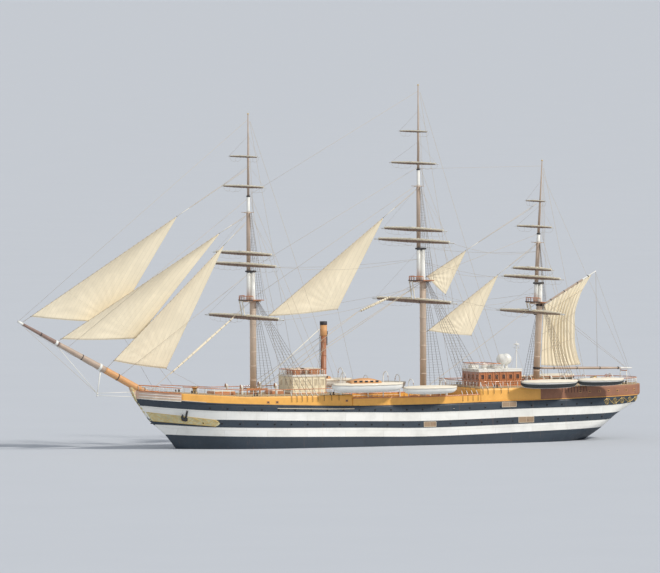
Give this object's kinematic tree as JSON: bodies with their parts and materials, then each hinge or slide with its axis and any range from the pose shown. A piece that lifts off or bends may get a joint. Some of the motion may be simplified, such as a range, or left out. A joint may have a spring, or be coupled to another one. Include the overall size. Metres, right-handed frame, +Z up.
{
  "type": "tall ship, 1:10 scale model",
  "caption": "Full-rigged three-masted ship under jibs, staysails and spanker, with yards that brace round, a swinging spanker, a rudder and a screw.",
  "frame": {"origin": "on the centreline at the waterline, half way between the stem head and the taffrail", "axes": "+X towards the bow, +Y to port, +Z up"},
  "size_m": [10.1465, 3, 6.13],
  "materials": {
    "hull_paint": "satin",
    "ochre_paint": "satin",
    "spar_paint": "satin",
    "yard_paint": "satin",
    "white_paint": "satin",
    "varnished_wood": "varnished",
    "canvas": "woven",
    "rigging_wire": "matte",
    "dark_iron": "matte",
    "bronze": "satin"
  },
  "bodies": {
    "hull": {"hull": "hull_paint", "forecastle": "ochre_paint", "poop": "ochre_paint", "waist_bulwark_port": "ochre_paint", "waist_bulwark_starboard": "ochre_paint", "beakhead": "ochre_paint", "bowsprit": "spar_paint", "dolphin_striker": "white_paint", "fore_house": "varnished_wood", "fore_house_roof": "white_paint", "bridge_house": "varnished_wood", "bridge_house_roof": "white_paint", "funnel": "spar_paint", "aerial_mast": "white_paint", "fore_lower_mast": "spar_paint", "fore_topmast": "spar_paint", "fore_topgallant_mast": "spar_paint", "main_lower_mast": "spar_paint", "main_topmast": "spar_paint", "main_topgallant_mast": "spar_paint", "mizzen_lower_mast": "spar_paint", "mizzen_topmast": "spar_paint", "mizzen_topgallant_mast": "spar_paint", "flying_jib": "canvas", "outer_jib": "canvas", "inner_jib": "canvas", "main_topmast_staysail": "canvas", "mizzen_topgallant_staysail": "canvas", "mizzen_staysail": "canvas", "fore_stay": "rigging_wire", "main_stay": "rigging_wire", "mizzen_stay": "rigging_wire", "port_forward_boats": "white_paint", "starboard_forward_boats": "white_paint", "port_after_boats": "white_paint", "starboard_after_boats": "white_paint", "anchor_port": "dark_iron", "anchor_starboard": "dark_iron"},
    "fore_yards": {"fore_lower_yard": "yard_paint", "fore_lower_topsail_yard": "yard_paint", "fore_upper_topsail_yard": "yard_paint", "fore_topgallant_yard": "yard_paint", "fore_royal_yard": "yard_paint"},
    "main_yards": {"main_lower_yard": "yard_paint", "main_lower_topsail_yard": "yard_paint", "main_upper_topsail_yard": "yard_paint", "main_topgallant_yard": "yard_paint", "main_royal_yard": "yard_paint"},
    "mizzen_yards": {"mizzen_lower_yard": "yard_paint", "mizzen_lower_topsail_yard": "yard_paint", "mizzen_upper_topsail_yard": "yard_paint", "mizzen_topgallant_yard": "yard_paint", "mizzen_royal_yard": "yard_paint"},
    "spanker": {"spanker_boom": "yard_paint", "spanker_gaff": "yard_paint", "spanker": "canvas"},
    "rudder": {"rudder": "hull_paint"},
    "propeller": {"propeller": "bronze"}
  },
  "joints": [
    {"name": "fore_yards_brace", "type": "hinge", "parent": "hull", "child": "fore_yards", "pos_m": [2.165, 0, 1.94], "axis": [0, 0, 1], "range_deg": [-35, 35]},
    {"name": "main_yards_brace", "type": "hinge", "parent": "hull", "child": "main_yards", "pos_m": [-0.635, 0, 2.14], "axis": [0, 0, 1], "range_deg": [-35, 35]},
    {"name": "mizzen_yards_brace", "type": "hinge", "parent": "hull", "child": "mizzen_yards", "pos_m": [-2.57454, 0, 1.93028], "axis": [-0.0541, 0, 0.9985], "range_deg": [-35, 35]},
    {"name": "spanker_swing", "type": "hinge", "parent": "hull", "child": "spanker", "pos_m": [-2.59901, 0, 1.08773], "axis": [-0.0541, 0, 0.9985], "range_deg": [-40, 40]},
    {"name": "rudder_turn", "type": "hinge", "parent": "hull", "child": "rudder", "pos_m": [-3.163, 0, -0.4], "axis": [0, 0, 1], "range_deg": [-35, 35]},
    {"name": "propeller_spin", "type": "hinge", "parent": "hull", "child": "propeller", "pos_m": [-2.93, 0, -0.45], "axis": [1, 0, 0], "continuous": true}
  ]
}
